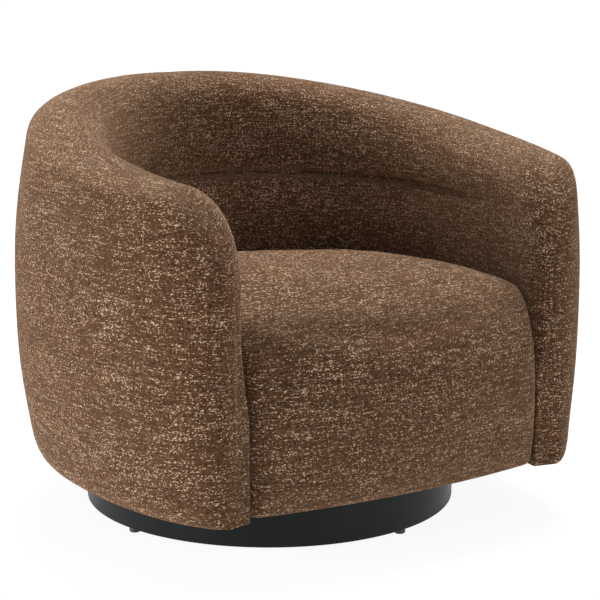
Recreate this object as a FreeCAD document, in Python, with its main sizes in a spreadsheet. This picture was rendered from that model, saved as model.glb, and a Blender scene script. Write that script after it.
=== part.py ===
import FreeCAD, Part
import Sketcher
import math
import os
import re

# Barrel swivel chair: an upholstered shell on a ply frame, a seat block on webbing, and a roller swivel on a
# round plinth. Millimetres, +Z up, the sitter faces -Y, origin on the floor at the swivel's axis.

V = FreeCAD.Vector
doc = FreeCAD.newDocument("swivel_chair")
sizes = doc.addObject("Spreadsheet::Sheet", "sizes")

SIZES = {
    # the shell's plan, at its widest height
    "half_width": 440,
    "back_reach": 413,
    "widest_place": -72,
    "arm_reach": 403,
    "arm_closing": 870,
    # the shell's upright profile
    "shell_lift": 10,
    "widest_height": 402,
    "bottom_tuck": 18,
    "corner_width": 25,
    "corner_height": 64,
    "top_lean_back": 33,
    "top_lean_front": 13,
    "rim_back": 691,
    "rim_front": 579,
    "rim_crown": 0.25,
    "rim_dip": 0.97,
    "shell_depth": 148,
    "roll_width": 74,
    "roll_outer_drop": 41,
    "roll_inner_drop": 52,
    # the rounded arm noses
    "nose_length": 140,
    "nose_outer_length": 286,
    "nose_outer_round": 104,
    "nose_inner_length": 63,
    "nose_inner_round": 26,
    "nose_foot_round": 4,
    "nose_drop": 140,
    "nose_drop_length": 104,
    # the padding
    "cover_wall": 12,
    "pad_thickness": 42,
    "roll_foam": 38,
    "crease_height": 511,
    "crease_tuck": 9,
    "roll_swell": 7,
    "pad_swell": 13,
    "soft_gap": 0.4,
    # the seat block
    "seat_proud": 10,
    "seat_front_set": 204,
    "seat_front_bow": 20,
    "seat_corner": 62,
    "seat_crown": 405,
    "crown_share": 0.55,
    "seat_shoulder": 366,
    "seat_side_gap": 1.2,
    "seat_foot_tuck": 20,
    # the ply frame
    "ply": 18,
    "frame_gap": 1.4,
    "frame_bar": 90,
    "post_thickness": 36,
    "top_rail_width": 56,
    "deck_height": 292,
    "deck_bar": 85,
    "apron_thickness": 63.4,
    "cleat_width": 24,
    "cleat_height": 24,
    "block_leg": 55,
    "front_narrowing": 26,
    # webbing and cloth
    "web_width": 62,
    "web_thickness": 1.5,
    "web_pitch": 120,
    "web_cross_pitch": 105,
    "web_first_row": -190,
    "web_lap": 4,
    "cloth": 1,
    "cloth_lap": 14,
    "cloth_window_gap": 2,
    # the swivel's board and rails
    "board_size": 300,
    "board_corner": 12,
    "board_bore": 20,
    "swivel_rail_place": 130,
    "swivel_rail_width": 60,
    "swivel_rail_height": 34,
    # the plinth
    "plinth_radius": 308,
    "plinth_wall": 22,
    "plinth_top": 88,
    "plinth_edge": 3,
    "panel_recess": 4,
    "panel_fit": 0.2,
    "brace_width": 40,
    "brace_height": 44,
    "glide_radius": 9,
    "glide_height": 8,
    "glide_edge": 2.5,
    "glide_turn": 12,
    # the swivel
    "plate_size": 200,
    "plate_thickness": 3,
    "plate_corner": 16,
    "race_radius": 72,
    "roller_length": 14,
    "roller_gap": 0.3,
    "cage_margin": 4,
    "cage_thickness": 2,
    "pivot_radius": 8,
    "pivot_head_radius": 14,
    "pivot_head_height": 6,
    "pivot_play": 0.3,
    "running_gap": 0.08,
    "screw_place": 80,
    "screw_radius": 3,
    "screw_head_radius": 7,
    "screw_head_height": 2.5,
    "thread_gap": 0.05,
}

for row, (alias, value) in enumerate(SIZES.items(), 1):
    sizes.set(f"A{row}", alias.replace("_", " "))
    sizes.set(f"B{row}", str(value))
    sizes.setAlias(f"B{row}", alias)
doc.recompute()


def mm(alias):
    """A size from the sheet."""
    return float(sizes.get(alias))


half_width = mm("half_width")
widest = mm("widest_place")
back_axis = mm("back_reach") - widest
front_axis = mm("arm_closing")
bottom = mm("plinth_top") + mm("shell_lift")
depth = mm("shell_depth")
wall = mm("cover_wall")
gap = mm("soft_gap")
ply = mm("ply")
deck_top = mm("deck_height")
crease = mm("crease_height")
frame_top = bottom + ply
pad_back = depth - mm("pad_thickness")
web_top = deck_top + 2 * mm("web_thickness")
seat_front = mm("arm_reach") + mm("seat_proud")
seat_front_half = half_width - mm("seat_front_set")
apron_back = mm("apron_thickness") - seat_front
frame_front = apron_back + gap


# The shell's plan: two half ellipses that share the widest line, walked by length from the arm's tip


def plan_point(turn):
    """A point of the plan's left half and its inward direction, from the turn about the widest line."""
    reach = back_axis if turn > 0 else front_axis
    x = -half_width * math.cos(turn)
    y = widest + reach * math.sin(turn)
    inward = V(reach * math.cos(turn), -half_width * math.sin(turn), 0)
    return V(x, y, 0), inward.normalize()


TIP_TURN = -math.asin((mm("arm_reach") + widest) / front_axis)
WALK_STEPS = 600
walk = [(0.0, TIP_TURN)]
for step in range(1, WALK_STEPS + 1):
    turn = TIP_TURN + (math.pi / 2 - TIP_TURN) * step / WALK_STEPS
    length = walk[-1][0] + (plan_point(turn)[0] - plan_point(walk[-1][1])[0]).Length
    walk.append((length, turn))
HALF_LENGTH = walk[-1][0]


def turn_at(length):
    """The turn at a length from the arm's tip."""
    for (before, turn_before), (after, turn_after) in zip(walk, walk[1:]):
        if length <= after:
            share = (length - before) / (after - before)
            return turn_before + share * (turn_after - turn_before)
    return math.pi / 2


def spot(length, inset, z=0.0, side=-1):
    """A point of the shell: its length from the arm's tip, its inset, its height and its side, -1 left."""
    point, inward = plan_point(turn_at(length))
    point = point + inward * inset
    return V(-side * point.x, point.y, z)


def length_where(inset, y):
    """The length from the tip at which the line at this inset passes a given y."""
    low, high = 0.0, HALF_LENGTH
    for _ in range(50):
        middle = (low + high) / 2
        if spot(middle, inset).y < y:
            low = middle
        else:
            high = middle
    return (low + high) / 2


# The upright profile at a length from the tip

ROUND_RUNS = 3
DIAGONAL = 1 - math.sqrt(0.5)
ROLL_POWER = 0.64
BARREL_POWER = 3.3


def quarter(share):
    """How far a quarter round has fallen at a share of its length, 1 at the tip."""
    share = min(1.0, max(0.0, share))
    return 1 - math.sqrt(1 - share * share)


def rim_height(length):
    share = length / HALF_LENGTH
    rise = share * (1 + (1 - share) * (mm("rim_crown") - mm("rim_dip") * (1 - 2 * share)))
    level = mm("rim_front") + (mm("rim_back") - mm("rim_front")) * rise
    return level - mm("nose_drop") * quarter(1 - length / mm("nose_drop_length"))


def outer_inset(length):
    return mm("nose_outer_round") * quarter(1 - length / mm("nose_outer_length"))


def inner_inset(length, rounding="nose_inner_round"):
    return depth - mm(rounding) * quarter(1 - length / mm("nose_inner_length"))


def top_lean(length):
    """How far the roll's outer edge leans in, more at the back than at the arm's tip."""
    return mm("top_lean_front") + (mm("top_lean_back") - mm("top_lean_front")) * length / HALF_LENGTH


def swell_share(length):
    """The tuck and the swell of the back die out along the arms."""
    share = min(1.0, max(0.0, (length / HALF_LENGTH - 0.2) / 0.35))
    return share * share * (3 - 2 * share)


def shoulder_height(length):
    return rim_height(length) - mm("roll_outer_drop")


def widest_level(length):
    """The height of the widest line, which falls with the rim on the nose."""
    fall = mm("nose_drop") * quarter(1 - length / mm("nose_drop_length"))
    rise = shoulder_height(length) - bottom
    return bottom + (mm("widest_height") - bottom) * rise / (rise + fall)


def barrel_inset(z, length):
    """How far the outside leans in at a height: a full round below the widest line and a slight one above."""
    widest_z = widest_level(length)
    if z < widest_z:
        share = (widest_z - z) / (widest_z - bottom - mm("corner_height"))
        return mm("bottom_tuck") * min(1.0, share) ** BARREL_POWER
    return top_lean(length) * ((z - widest_z) / (shoulder_height(length) - widest_z)) ** 2


def barrel_line(inset, low, high, length, share=1.0):
    """The outside's points on the way from one height to another, the first one left out."""
    heights = [low + (high - low) * run / ROUND_RUNS for run in range(1, ROUND_RUNS + 1)]
    return [(inset + share * barrel_inset(z, length), z) for z in heights]


def thin_share(length):
    """How much of its full depth the arm has here."""
    return (inner_inset(length) - outer_inset(length)) / depth


def outside_steps(length):
    """The outside from the bottom corner to the roll's crest, as a start and the steps after it."""
    inset = outer_inset(length)
    rim = rim_height(length)
    share = thin_share(length)
    width = mm("corner_width") * share
    height = mm("corner_height") * share
    tuck = mm("bottom_tuck") * share
    level = widest_level(length)
    shoulder = shoulder_height(length)
    lean = inset + top_lean(length) * share
    crest = lean + mm("roll_width") * share
    start = (inset + tuck + width, bottom)
    steps = [((inset + tuck + width * DIAGONAL, bottom + height * DIAGONAL), (inset + tuck, bottom + height))]
    steps += barrel_line(inset, bottom + height, level, length, share)
    steps += barrel_line(inset, level, shoulder, length, share)
    for run in range(1, ROUND_RUNS):
        turn = math.pi / 2 * run / ROUND_RUNS
        steps.append((crest - (crest - lean) * math.cos(turn) ** ROLL_POWER,
                      shoulder + mm("roll_outer_drop") * math.sin(turn) ** ROLL_POWER))
    return start, steps + [(crest, rim)]


def section(start, steps, length, side):
    """A closed upright wire of straight runs: a step is an end point, or (middle, end) for a round."""
    points = [spot(length, start[0], start[1], side)]
    for step in steps:
        if isinstance(step[0], tuple):
            middle = spot(length, step[0][0], step[0][1], side)
            end = spot(length, step[1][0], step[1][1], side)
            points += Part.Arc(points[-1], middle, end).toShape().discretize(ROUND_RUNS + 1)[1:]
        else:
            points.append(spot(length, step[0], step[1], side))
    return Part.makePolygon(points + points[:1])


def cover_section(length, side):
    """Outside panel, top roll and the roll's inner lip down to the tuck."""
    start, steps = outside_steps(length)
    inset = outer_inset(length)
    rim = rim_height(length)
    crest = inset + top_lean(length) + mm("roll_width")
    lip_top = rim - mm("roll_inner_drop")
    tuck = mm("crease_tuck") * swell_share(length)
    swell = mm("roll_swell") * (0.3 + 0.7 * swell_share(length))
    level = widest_level(length)
    ceiling = rim - mm("roll_foam")
    width = mm("corner_width")
    height = mm("corner_height")
    bend = (width - (width - wall) * math.sqrt(0.5), height - (height - wall) * math.sqrt(0.5))
    inside = inset + wall
    foot = inset + mm("bottom_tuck")
    steps = steps + [
        ((depth - (depth - crest) * DIAGONAL, rim - mm("roll_inner_drop") * DIAGONAL), (depth, lip_top)),
        ((depth + swell, (lip_top + crease) / 2), (depth - tuck, crease)),
        (pad_back, crease),
        (pad_back, ceiling),
        (inside + top_lean(length), ceiling),
        (inside + top_lean(length), shoulder_height(length)),
    ]
    steps += barrel_line(inside, shoulder_height(length), level, length)
    steps += barrel_line(inside, level, bottom + height, length)
    steps.append(((foot + bend[0], bottom + bend[1]), (foot + width, bottom + wall)))
    return section(start, steps, length, side)


def pad_section(length, side):
    """The lower inside pad, from the tuck down to the seat deck. It swells only above the seat."""
    tuck = mm("crease_tuck") * swell_share(length)
    swell = mm("pad_swell") * (0.2 + 0.8 * swell_share(length))
    low = deck_top + gap
    high = crease - gap
    seat_line = mm("seat_shoulder")
    steps = [
        (depth - tuck, high),
        ((depth + swell, (seat_line + high) / 2), (depth, seat_line)),
        (depth, low),
        (pad_back, low),
    ]
    return section((pad_back, high), steps, length, side)


def nose_section(length, side):
    """The whole thickness of an arm, drawn in towards its tip."""
    start, steps = outside_steps(length)
    rim = rim_height(length)
    inner = inner_inset(length)
    crest = steps[-1][0]
    drop = mm("roll_inner_drop")
    steps = steps + [
        ((inner - (inner - crest) * DIAGONAL, rim - drop * DIAGONAL), (inner, rim - drop)),
        (inner, mm("seat_shoulder")),
        (inner_inset(length, "nose_foot_round"), (bottom + mm("seat_shoulder")) / 2),
        (inner_inset(length, "nose_foot_round"), bottom),
    ]
    return section(start, steps, length, side)


def rail_section(length, side):
    """The bent top rail under the roll."""
    high = rim_height(length) - mm("roll_foam") - gap
    outer = outer_inset(length) + top_lean(length) + wall + mm("frame_gap")
    inner = outer + mm("top_rail_width")
    return section((outer, high), [(inner, high), (inner, high - ply), (outer, high - ply)], length, side)


SHELL_STATIONS = 12
shell_start = mm("nose_length") + gap
station_pitch = (HALF_LENGTH - shell_start) / SHELL_STATIONS
stations = [shell_start + station_pitch * step for step in range(SHELL_STATIONS + 1)]


def around(make):
    """Sections at every station from the left arm round the back to the right arm."""
    return [make(length, -1) for length in stations] + [make(length, 1) for length in reversed(stations[:-1])]


def add_shape(label, shape):
    """A sub-part whose shape follows from the sheet's sizes by formula."""
    feature = doc.addObject("Part::Feature", label)
    feature.Label = label
    feature.Shape = shape
    return feature


parts = {}


def keep(label, feature):
    feature.Label = label
    parts[label] = feature
    return feature


# Upholstery

NOSE_STATIONS = (0.01, 0.03, 0.07, 0.13, 0.21, 0.31, 0.44, 0.58, 0.76, 1)

keep("outer_cover", add_shape("outer_cover", Part.makeLoft(
    around(cover_section), True, True)))
keep("inside_back_pad", add_shape("inside_back_pad", Part.makeLoft(
    around(pad_section), True, True)))
keep("top_rail", add_shape("top_rail", Part.makeLoft(
    around(rail_section), True, True)))
for label, side in (("arm_front_pad_left", -1), ("arm_front_pad_right", 1)):
    noses = [nose_section(share * mm("nose_length"), side) for share in NOSE_STATIONS]
    keep(label, add_shape(label, Part.makeLoft(noses, True, True)))


def side_points(inset, start, count, z):
    """The plan's line at an inset, from a right length round the back to the same place on the left."""
    lengths = [start + (HALF_LENGTH - start) * step / count for step in range(count + 1)]
    right = [spot(length, inset, z, 1) for length in lengths]
    return right + [spot(length, inset, z, -1) for length in reversed(lengths[:-1])]


SIDE_RUNS = 9
FRONT_RUNS = 6
CORNER_RUNS = 3


def front_points(half, front, corner_x, corner_y, z):
    """The bowed front from the left corner to the right one, each corner a round that meets the side."""
    bow = front + mm("seat_front_bow")
    middle = Part.Arc(V(-half, bow, z), V(0, front, z), V(half, bow, z)).toShape().discretize(FRONT_RUNS + 1)
    bend = V(half + (corner_x - half) * 0.76, bow + (corner_y - bow) * 0.36, z)
    round_edge = Part.Arc(V(half, bow, z), bend, V(corner_x, corner_y, z)).toShape()
    right = round_edge.discretize(CORNER_RUNS + 1)[1:]
    left = [V(-point.x, point.y, z) for point in reversed(right)]
    return left + middle + right


def seat_wire(z, side_inset, front_back):
    """One level of the seat block: its side inset, and how far its front stands behind the foremost."""
    inset = depth + mm("seat_side_gap") + side_inset
    front = front_back - seat_front
    start = length_where(inset, front + mm("seat_corner"))
    corner = spot(start, inset, z, 1)
    points = front_points(seat_front_half - side_inset, front, corner.x, corner.y, z)
    points += side_points(inset, start, SIDE_RUNS, z)[1:-1]
    return Part.makePolygon(points + points[:1])


def apron_wire(z, front_back):
    """One level of the front border below the deck, which is flat behind."""
    inset = depth + mm("seat_side_gap")
    corner = spot(length_where(inset, apron_back), inset, z, 1)
    points = front_points(seat_front_half, front_back - seat_front, corner.x, corner.y, z)
    return Part.makePolygon(points + points[:1])


BLOCK_LEVELS = (
    (0, 0, 9),
    (0.32, 0, 21),
    (0.6, 2, 34),
    (0.75, 9, 49),
    (0.85, 26, 72),
    (0.93, 66, 115),
)
APRON_LEVELS = ((0, 1), (0.05, 0.55), (0.16, 0.25), (0.35, 0.05), (0.55, 0), (0.8, 0.15), (1, 0.45))
seat_rise = mm("seat_crown") - web_top
apron_rise = web_top - bottom
block_wires = [seat_wire(web_top + rise * seat_rise, inset, back) for rise, inset, back in BLOCK_LEVELS]
block = Part.makeLoft(block_wires, True, True)
crown_rim = [vertex.Point for vertex in block_wires[-1].OrderedVertexes]
crown_base = block_wires[-1].BoundBox.Center
crown_top = V(crown_base.x, crown_base.y, mm("seat_crown"))
crown_peak = [crown_top + (point - crown_base) * mm("crown_share") for point in crown_rim]
crown_faces = [Part.Face(Part.makePolygon(points + points[:1])) for points in [crown_rim, crown_peak] + [
    [crown_rim[place - 1], crown_rim[place], crown_peak[place], crown_peak[place - 1]]
    for place in range(len(crown_rim))]]
crown = Part.makeSolid(Part.makeShell(crown_faces))
apron = Part.makeLoft(
    [apron_wire(bottom + rise * apron_rise, share * mm("seat_foot_tuck")) for rise, share in APRON_LEVELS],
    True, True)
keep("seat_cushion", add_shape("seat_cushion", block.fuse([apron, crown]).removeSplitter()))


# The shell's frame: rings cut from ply that follow the plan, and ribs with the barrel's profile

frame_outer = mm("bottom_tuck") + mm("corner_width") + mm("frame_gap")
rib_inner = pad_back - mm("frame_gap")
deck_outer = rib_inner + mm("frame_gap")
seat_inner = depth + mm("frame_gap")
front_half = spot(length_where(seat_inner, frame_front), seat_inner).x * -1


def foot_edge(length):
    """The inset of the bottom frame's edge, against the cover's foot."""
    return frame_outer + outer_inset(length)


def cloth_edge(length):
    return foot_edge(length) + mm("cloth_lap")


def deck_edge(length):
    return deck_outer


def ring_line(edge, front, z):
    """A closed line along an edge of the shell, across behind the noses and forward between them."""
    start = stations[0] + mm("frame_gap")
    half = [V(front_half, front, z), spot(start, seat_inner, z, 1), spot(start, edge(stations[0]), z, 1)]
    half += [spot(length, edge(length), z, 1) for length in stations[1:]]
    return half + [V(-point.x, point.y, z) for point in reversed(half[:-1])]


def opening_line(inset, front, z):
    """A closed line that follows the shell at an inset and is cut off straight at the front."""
    start = length_where(inset, front)
    half = [spot(start, inset, z, 1)]
    half += [spot(length, inset, z, 1) for length in stations if length > start + 1]
    return half + [V(-point.x, point.y, z) for point in reversed(half[:-1])]


def prism(points, rise):
    """A flat board or cloth: an outline raised by its thickness."""
    return Part.Face(Part.makePolygon(points + points[:1])).extrude(V(0, 0, rise))


def ply_ring(low, edge, bar):
    """A ring of ply: its opening is as wide as the bars leave it, and narrower between the noses."""
    ring = prism(ring_line(edge, frame_front, low), ply)
    neck_back = spot(stations[0], seat_inner).y + bar
    opening = prism(opening_line(edge(HALF_LENGTH) + bar, neck_back, low), ply)
    neck_half = front_half - bar
    neck = Part.makeBox(2 * neck_half, 2 * bar, ply, V(-neck_half, frame_front + bar, low))
    return ring.cut(opening.fuse(neck))


keep("bottom_frame", add_shape("bottom_frame", ply_ring(bottom, foot_edge, mm("frame_bar"))))
keep("seat_deck", add_shape("seat_deck", ply_ring(deck_top - ply, deck_edge, mm("deck_bar"))))


def upright(length, thickness, side):
    """A rib or post: it stands on the bottom frame, fits the barrel and carries the top rail."""
    low = max(length - thickness / 2, stations[0])
    rail_under = min(rim_height(low), rim_height(length + thickness / 2)) - mm("roll_foam") - 2 * gap - ply
    inside = outer_inset(low) + wall + mm("frame_gap")
    corner_top = bottom + mm("corner_height")
    level = widest_level(length)
    shoulder = shoulder_height(length)
    steps = [(inside + mm("bottom_tuck"), corner_top)]
    steps += barrel_line(inside, corner_top, level, length)
    steps += barrel_line(inside, level, min(shoulder, rail_under), length)
    if shoulder < rail_under:
        steps.append((inside + top_lean(length), rail_under))
    steps += [(rib_inner, rail_under), (rib_inner, frame_top)]
    profile = Part.Face(section((foot_edge(low), frame_top), steps, length, side))
    along = profile.normalAt(0, 0) * thickness
    return profile.translated(along * -0.5).extrude(along)


RIB_STATIONS = (2, 4, 6, 8, 10)
post_length = stations[0] + mm("frame_gap") + mm("post_thickness") / 2
ribs = [upright(stations[station], ply, side) for station in RIB_STATIONS for side in (-1, 1)]
ribs.append(upright(HALF_LENGTH, ply, 1))
keep("shell_ribs", add_shape("shell_ribs", Part.makeCompound(ribs)))
posts = [upright(post_length, mm("post_thickness"), side) for side in (-1, 1)]
keep("front_posts", add_shape("front_posts", Part.makeCompound(posts)))


def cleat(length, side):
    """A block on a rib's inner edge, under the deck."""
    low = deck_top - ply - mm("cleat_height")
    face = [spot(length, rib_inner + reach, low, side) for reach in (0, mm("cleat_width"))]
    across = (face[1] - face[0]).cross(V(0, 0, 1)).normalize() * ply / 2
    return prism([face[0] - across, face[1] - across, face[1] + across, face[0] + across], mm("cleat_height"))


cleats = [cleat(length, side) for length in [stations[number] for number in RIB_STATIONS] + [post_length]
          for side in (-1, 1)]
cleats.append(cleat(HALF_LENGTH, 1))
keep("deck_cleats", add_shape("deck_cleats", Part.makeCompound(cleats)))


def strap(x_from, x_to, y_from, y_to, low, reach):
    """A strap of webbing, cut off where the seat's sides are."""
    band = Part.makeBox(x_to - x_from, y_to - y_from, mm("web_thickness"), V(x_from, y_from, low))
    return band.common(reach)


half_web = mm("web_width") / 2
web_line = opening_line(depth + mm("web_lap"), frame_front + mm("web_lap"), deck_top)
web_reach = prism(web_line, web_top - deck_top)
lengthwise = [strap(x - half_web, x + half_web, -half_width, half_width, deck_top, web_reach)
              for x in [mm("web_pitch") * place for place in (-1.5, -0.5, 0.5, 1.5)]]
upper_web = deck_top + mm("web_thickness")
crosswise = [strap(-half_width, half_width, y - half_web, y + half_web, upper_web, web_reach)
             for y in [mm("web_first_row") + mm("web_cross_pitch") * row for row in range(4)]]
keep("webbing_lengthwise", add_shape("webbing_lengthwise", Part.makeCompound(lengthwise)))
keep("webbing_crosswise", add_shape("webbing_crosswise", Part.makeCompound(crosswise)))

cloth_hole = mm("plate_size") / 2 + mm("cloth_window_gap")
cloth_low = bottom - mm("cloth")
cloth_sheet = prism(ring_line(cloth_edge, frame_front + mm("cloth_lap"), cloth_low), mm("cloth"))
window_corner = V(-cloth_hole, -cloth_hole, cloth_low)
cloth_window = Part.makeBox(2 * cloth_hole, 2 * cloth_hole, mm("cloth"), window_corner)
keep("dust_cover", add_shape("dust_cover", cloth_sheet.cut(cloth_window)))


def back_where(inset, x):
    """How far back the line at an inset lies at a given x."""
    low, high = stations[SHELL_STATIONS // 2], HALF_LENGTH
    for _ in range(50):
        middle = (low + high) / 2
        if spot(middle, inset, 0, 1).x > x:
            low = middle
        else:
            high = middle
    return spot(low, inset).y


rail_half = mm("swivel_rail_width") / 2
rail_back = back_where(rib_inner + 2 * mm("frame_gap"), mm("swivel_rail_place") + rail_half)
rail_front = frame_front + ply + mm("frame_gap")
swivel_rails = [Part.makeBox(mm("swivel_rail_width"), rail_back - rail_front, mm("swivel_rail_height"),
                             V(side * mm("swivel_rail_place") - rail_half, rail_front, frame_top))
                for side in (-1, 1)]
keep("swivel_rails", add_shape("swivel_rails", Part.makeCompound(swivel_rails)))
keep("seat_front_rail", add_shape("seat_front_rail", Part.makeBox(
    2 * front_half, ply, deck_top - ply - frame_top, V(-front_half, frame_front, frame_top))))

# Bound solids: primitives and bodies whose sizes are formulas of the sheet

SHELL_BOTTOM = "(plinth_top + shell_lift)"
PANEL_TOP = "(plinth_top - panel_recess)"
PANEL_LOW = "(plinth_top - panel_recess - ply)"
RACE_LEVEL = "(plinth_top + (shell_lift - panel_recess) / 2)"
FOUR_CORNERS = [(x, y) for x in (-1, 1) for y in (-1, 1)]


def linked(text):
    """A formula over the sizes, as the sheet's expression."""
    return re.sub(r"[a-z_]+", lambda word: f"sizes.{word[0]}" if word[0] in SIZES else word[0], text)


def number(text):
    return float(sizes.evalExpression(text))


def solid(kind, place, **formulas):
    """A primitive at a place, all of it in formulas."""
    made = doc.addObject(f"Part::{kind}", kind.lower())
    for name, text in formulas.items():
        made.setExpression(name, linked(text))
    for axis, text in zip("xyz", place):
        made.setExpression(f"Placement.Base.{axis}", linked(text))
    return made


def group(kind, members):
    """A boolean or a compound of several solids."""
    made = doc.addObject(f"Part::{kind}", kind.lower())
    if kind == "Compound":
        made.Links = members
    elif kind == "Cut":
        made.Base, made.Tool = members
    else:
        made.Shapes = members
    return made


def body(label):
    return keep(label, doc.addObject("PartDesign::Body", label))


def sketch_on(owner, role, lift="0"):
    """A sketch on one of the body's own planes, lifted off it by a formula."""
    plane = next(feature for feature in owner.Origin.OriginFeatures if feature.Role == role)
    sketch = owner.newObject("Sketcher::SketchObject", f"{owner.Label}_sketch")
    sketch.AttachmentSupport = (plane, "")
    sketch.MapMode = "FlatFace"
    sketch.setExpression("AttachmentOffset.Base.z", linked(lift))
    return sketch


def hold(sketch, kind, text, *points):
    place = sketch.addConstraint(Sketcher.Constraint(kind, *points, number(text)))
    sketch.setExpression(f"Constraints[{place}]", linked(text))


def pin_point(sketch, geometry, point, x, y):
    """A point of the sketch held at two formulas from its origin."""
    hold(sketch, "DistanceX", x, -1, 1, geometry, point)
    hold(sketch, "DistanceY", y, -1, 1, geometry, point)


def circle(sketch, x, y, radius):
    geometry = sketch.addGeometry(Part.Circle(V(number(x), number(y), 0), V(0, 0, 1), number(radius)))
    pin_point(sketch, geometry, 3, x, y)
    hold(sketch, "Radius", radius, geometry)


def outline(sketch, corners):
    """A closed line of straight runs through corners given as formulas."""
    points = [V(number(x), number(y), 0) for x, y in corners]
    first = sketch.GeometryCount
    for point, after in zip(points, points[1:] + points[:1]):
        sketch.addGeometry(Part.LineSegment(point, after))
    for place, (x, y) in enumerate(corners):
        following = first + (place + 1) % len(corners)
        sketch.addConstraint(Sketcher.Constraint("Coincident", first + place, 2, following, 1))
        pin_point(sketch, first + place, 1, x, y)


def rectangle(sketch, left, low, right, high):
    outline(sketch, [(left, low), (right, low), (right, high), (left, high)])


def feature_on(owner, kind, sketch, **formulas):
    """A PartDesign feature made from a sketch."""
    made = owner.newObject(f"PartDesign::{kind}", kind.lower())
    made.Profile = sketch
    for name, text in formulas.items():
        made.setExpression(name, linked(text))
    sketch.Visibility = False
    return made


def turned(owner, kind, sketch):
    """A revolution or a groove about the body's upright axis."""
    made = feature_on(owner, kind, sketch)
    made.ReferenceAxis = (sketch, ["V_Axis"])
    made.Angle = 360
    return made


def through(owner, sketch):
    """Holes from the sketch's level right down through the body."""
    made = feature_on(owner, "Pocket", sketch)
    made.Type = "ThroughAll"
    return made


def dressed(owner, kind, base, chosen, size, text):
    """A fillet or chamfer along the chosen edges of a feature."""
    doc.recompute()
    edges = [f"Edge{place}" for place, edge in enumerate(base.Shape.Edges, 1) if chosen(edge)]
    made = owner.newObject(f"PartDesign::{kind}", kind.lower())
    made.Base = (base, edges)
    made.setExpression(size, linked(text))
    return made


def is_upright(edge):
    return abs(edge.tangentAt(edge.FirstParameter).z) > 0.99


def is_round(edge, radius, z):
    """Whether an edge is a whole circle of a radius at a height."""
    curve = edge.Curve
    return (isinstance(curve, Part.Circle) and abs(curve.Radius - radius) < 0.01
            and abs(curve.Center.z - z) < 0.01)


# The plinth

ring = body("plinth_ring")
ring_profile = sketch_on(ring, "XZ_Plane")
rectangle(ring_profile, "plinth_radius - plinth_wall", "glide_height", "plinth_radius", "plinth_top")
ring_wall = turned(ring, "Revolution", ring_profile)
dressed(ring, "Chamfer", ring_wall, lambda edge: is_round(edge, mm("plinth_radius"), mm("plinth_top")),
        "Size", "plinth_edge")

panel = body("plinth_top_panel")
panel_sketch = sketch_on(panel, "XY_Plane", PANEL_LOW)
PANEL_REACH = "(plinth_radius - plinth_wall - panel_fit)"
outline(panel_sketch, [(f"{PANEL_REACH} * cos({45 * corner})", f"{PANEL_REACH} * sin({45 * corner})")
                       for corner in range(8)])
for x, y in FOUR_CORNERS:
    circle(panel_sketch, f"{x} * screw_place", f"{y} * screw_place", "screw_radius + thread_gap")
feature_on(panel, "Pad", panel_sketch, Length="ply")


def brace(label, length, width, lap_low):
    """One of two crossed braces: its ends fit the ring, and half its height is cut away at the crossing."""
    low = f"({PANEL_LOW} - brace_height)"
    bar = solid("Box", (f"-{length} / 2", f"-{width} / 2", low),
                Length=length, Width=width, Height="brace_height")
    reach = solid("Cylinder", ("0", "0", low),
                  Radius="plinth_radius - plinth_wall - panel_fit", Height="brace_height")
    lap_size = "(brace_width + 2 * thread_gap)"
    lap = solid("Box", (f"-{lap_size} / 2", f"-{lap_size} / 2", f"{low} + {lap_low}"),
                Length=lap_size, Width=lap_size, Height="brace_height / 2")
    keep(label, group("Cut", [group("MultiCommon", [bar, reach]), lap]))


brace("plinth_brace_long", "(2 * plinth_radius)", "brace_width", "brace_height / 2")
brace("plinth_brace_cross", "brace_width", "(2 * plinth_radius)", "0")

glides = []
for quarter_turn in range(4):
    turn_text = f"(glide_turn + {90 * quarter_turn})"
    middle = [f"(plinth_radius - plinth_wall / 2) * {wave}({turn_text})" for wave in ("cos", "sin")]
    glides.append(group("MultiFuse", [
        solid("Cone", (*middle, "0"),
              Radius1="glide_radius - glide_edge", Radius2="glide_radius", Height="glide_edge"),
        solid("Cylinder", (*middle, "glide_edge"),
              Radius="glide_radius", Height="glide_height - glide_edge"),
    ]))
keep("floor_glides", group("Compound", glides))

# The swivel: two flat plates, the rollers between them in their cage, and the bolt that keeps all together


def swivel_plate(label, low, hole):
    plate = body(label)
    blank = sketch_on(plate, "XY_Plane", low)
    rectangle(blank, "-plate_size / 2", "-plate_size / 2", "plate_size / 2", "plate_size / 2")
    slab = feature_on(plate, "Pad", blank, Length="plate_thickness")
    dressed(plate, "Chamfer", slab, is_upright, "Size", "plate_corner")
    holes = sketch_on(plate, "XY_Plane", f"{low} + plate_thickness")
    circle(holes, "0", "0", hole)
    for x, y in FOUR_CORNERS:
        circle(holes, f"{x} * screw_place", f"{y} * screw_place", "screw_radius + thread_gap")
    through(plate, holes)


LOWER_FACE = f"({PANEL_TOP} + plate_thickness)"
UPPER_FACE = f"({SHELL_BOTTOM} - plate_thickness)"
swivel_plate("swivel_lower_plate", PANEL_TOP, "pivot_radius + thread_gap")
swivel_plate("swivel_upper_plate", UPPER_FACE, "pivot_radius + running_gap")

HEAD_LOW = f"({SHELL_BOTTOM} + pivot_play)"
keep("pivot_bolt", group("MultiFuse", [
    solid("Cylinder", ("0", "0", PANEL_TOP), Radius="pivot_radius", Height=f"{HEAD_LOW} - {PANEL_TOP}"),
    solid("Prism", ("0", "0", HEAD_LOW), Circumradius="pivot_head_radius", Height="pivot_head_height"),
]))

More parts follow.
